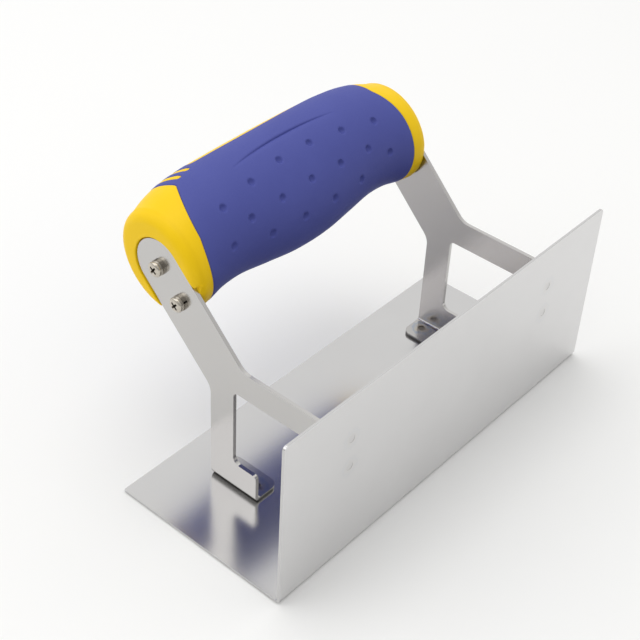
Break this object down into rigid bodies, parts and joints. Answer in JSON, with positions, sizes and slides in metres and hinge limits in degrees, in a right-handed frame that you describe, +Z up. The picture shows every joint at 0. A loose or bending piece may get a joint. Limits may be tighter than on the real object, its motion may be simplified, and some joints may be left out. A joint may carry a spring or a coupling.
{
  "type": "inside corner trowel",
  "caption": "L-shaped stainless blade for smoothing plaster in inside corners, with forked sheet-metal brackets carrying a soft two-colour grip along the corner line",
  "frame": {"origin": "middle of the outer (under) face of the lying wing, the face the trowel rests on", "axes": "+X along the blade from the front bracket to the rear bracket, +Y from the corner towards the free edge of the lying wing, +Z up along the standing wing"},
  "size_m": [0.18, 0.1065, 0.1065],
  "materials": {
    "stainless_blade": "satin stainless sheet, fine rolled grain, deburred edges",
    "bracket_steel": "satin stainless sheet, stamped and bent",
    "plated_steel": "bright nickel-plated steel with a slightly warm tone",
    "core_plastic": "semi-matte moulded hard plastic, yellow",
    "soft_grip": "matte soft thermoplastic rubber, blue, with shallow dimples",
    "insert_brass": "plain machined brass"
  },
  "bodies": {
    "root": {"blade": "stainless_blade", "front_bracket": "bracket_steel", "rear_bracket": "bracket_steel", "handle_core": "core_plastic", "grip_sleeve": "soft_grip", "screw_front_upper": "plated_steel", "lock_washer_front_upper": "plated_steel", "insert_front_upper": "insert_brass", "screw_front_lower": "plated_steel", "lock_washer_front_lower": "plated_steel", "insert_front_lower": "insert_brass", "screw_rear_upper": "plated_steel", "lock_washer_rear_upper": "plated_steel", "insert_rear_upper": "insert_brass", "screw_rear_lower": "plated_steel", "lock_washer_rear_lower": "plated_steel", "insert_rear_lower": "insert_brass"}
  },
  "joints": []
}
